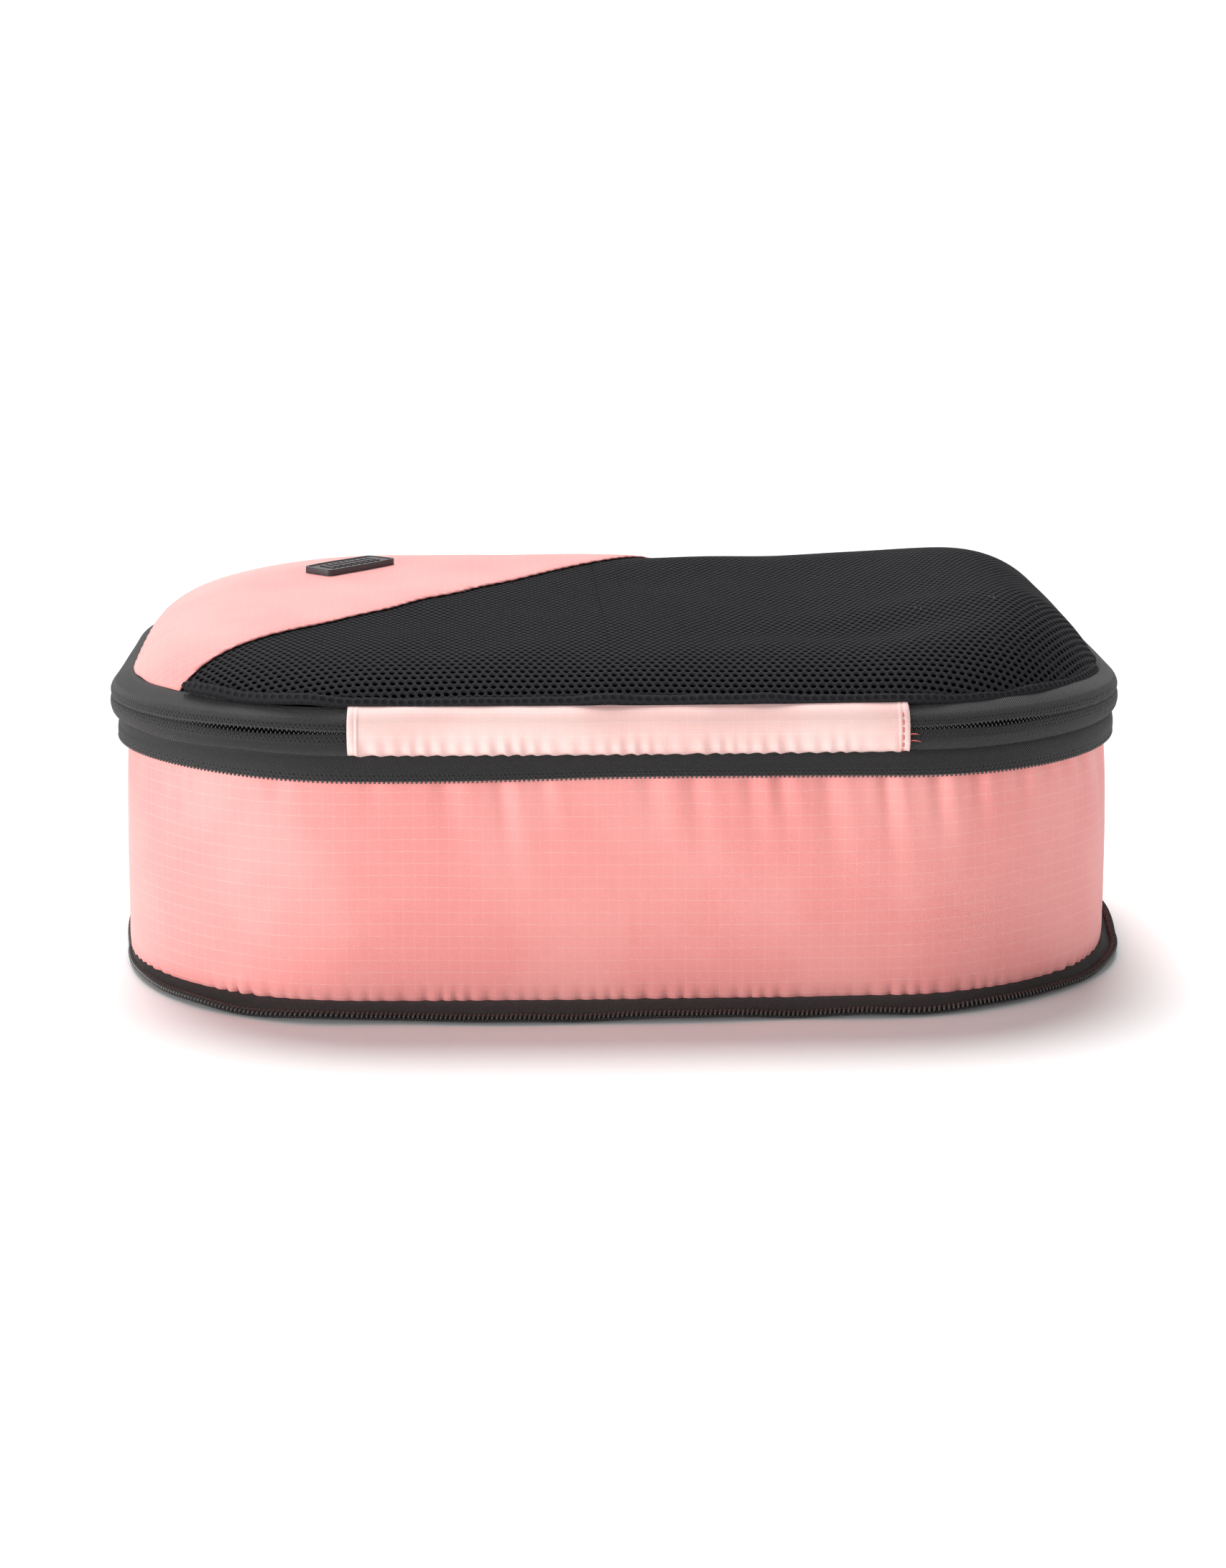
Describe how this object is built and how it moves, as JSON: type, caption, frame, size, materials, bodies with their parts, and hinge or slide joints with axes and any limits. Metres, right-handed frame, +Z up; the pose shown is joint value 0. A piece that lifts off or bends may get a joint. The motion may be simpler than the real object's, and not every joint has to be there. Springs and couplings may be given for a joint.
{
  "type": "packing cube",
  "caption": "Compression packing cube in coral ripstop with a zipped mesh lid on a cloth hinge, shown expanded with its compression zip open.",
  "frame": {"origin": "the middle of the foot, on the surface that the cube stands on", "axes": "+Z up, +X to the right of someone facing the hinge strip, which is on the -Y side; the zip sliders are on the +Y side"},
  "size_m": [0.3636, 0.2744, 0.1273],
  "materials": {
    "coral_ripstop": "satin",
    "lid_mesh": "matte",
    "zip_tape": "matte",
    "nylon_coil": "gloss",
    "seam_binding": "matte",
    "badge_rubber": "satin",
    "slider_paint": "satin",
    "pull_ribbon": "matte"
  },
  "bodies": {
    "base": {"bottom_panel": "coral_ripstop", "gusset_wall": "coral_ripstop", "compression_tape_lower": "zip_tape", "compression_coil_lower": "nylon_coil", "zip_end_tab_lower": "coral_ripstop", "bottom_seam_binding": "seam_binding"},
    "rim": {"compression_tape_upper": "zip_tape", "compression_coil_upper": "nylon_coil", "zip_end_tab_upper": "coral_ripstop", "main_tape_lower": "zip_tape", "main_coil_lower": "nylon_coil", "hinge_strip_rim_half": "coral_ripstop", "rim_seam_binding": "seam_binding"},
    "lid": {"mesh_panel": "lid_mesh", "corner_panel": "coral_ripstop", "badge": "badge_rubber", "main_tape_upper": "zip_tape", "main_coil_upper": "nylon_coil", "hinge_strip_lid_half": "coral_ripstop", "lid_seam_binding": "seam_binding"},
    "slider_left": {"main_slider_left": "slider_paint"},
    "slider_right": {"main_slider_right": "slider_paint"},
    "slider_compression": {"compression_slider": "slider_paint"},
    "pull_left": {"main_pull_tab_left": "slider_paint", "main_pull_ribbon_left": "pull_ribbon"},
    "pull_right": {"main_pull_tab_right": "slider_paint", "main_pull_ribbon_right": "pull_ribbon"},
    "pull_compression": {"compression_pull_tab": "slider_paint", "compression_pull_ribbon": "pull_ribbon"}
  },
  "joints": [
    {"name": "compress", "type": "slide", "parent": "base", "child": "rim", "axis": [0, 0, -1], "range_m": [0, 0.066], "deforming": ["gusset_wall"]},
    {"name": "lid_hinge", "type": "hinge", "parent": "rim", "child": "lid", "pos_m": [0, -0.1288, 0.0985], "axis": [1, 0, 0], "range_deg": [0, 150]},
    {"name": "zip_left", "type": "slide", "parent": "rim", "child": "slider_left", "axis": [-1, 0, 0], "range_m": [0, 0.075]},
    {"name": "zip_right", "type": "slide", "parent": "rim", "child": "slider_right", "axis": [1, 0, 0], "range_m": [0, 0.075]},
    {"name": "compression_zip", "type": "slide", "parent": "rim", "child": "slider_compression", "axis": [1, 0, 0], "range_m": [0, 0.065]},
    {"name": "pull_left_swing", "type": "hinge", "parent": "slider_left", "child": "pull_left", "pos_m": [-0.0082, 0.1314, 0.0985], "axis": [0, 0, -1], "range_deg": [0, 90]},
    {"name": "pull_right_swing", "type": "hinge", "parent": "slider_right", "child": "pull_right", "pos_m": [0.0082, 0.1314, 0.0985], "axis": [0, 0, 1], "range_deg": [0, 90]},
    {"name": "compression_pull_swing", "type": "hinge", "parent": "slider_compression", "child": "pull_compression", "pos_m": [0.0182, 0.1314, 0.0813], "axis": [0, 0, 1], "range_deg": [0, 90]}
  ]
}
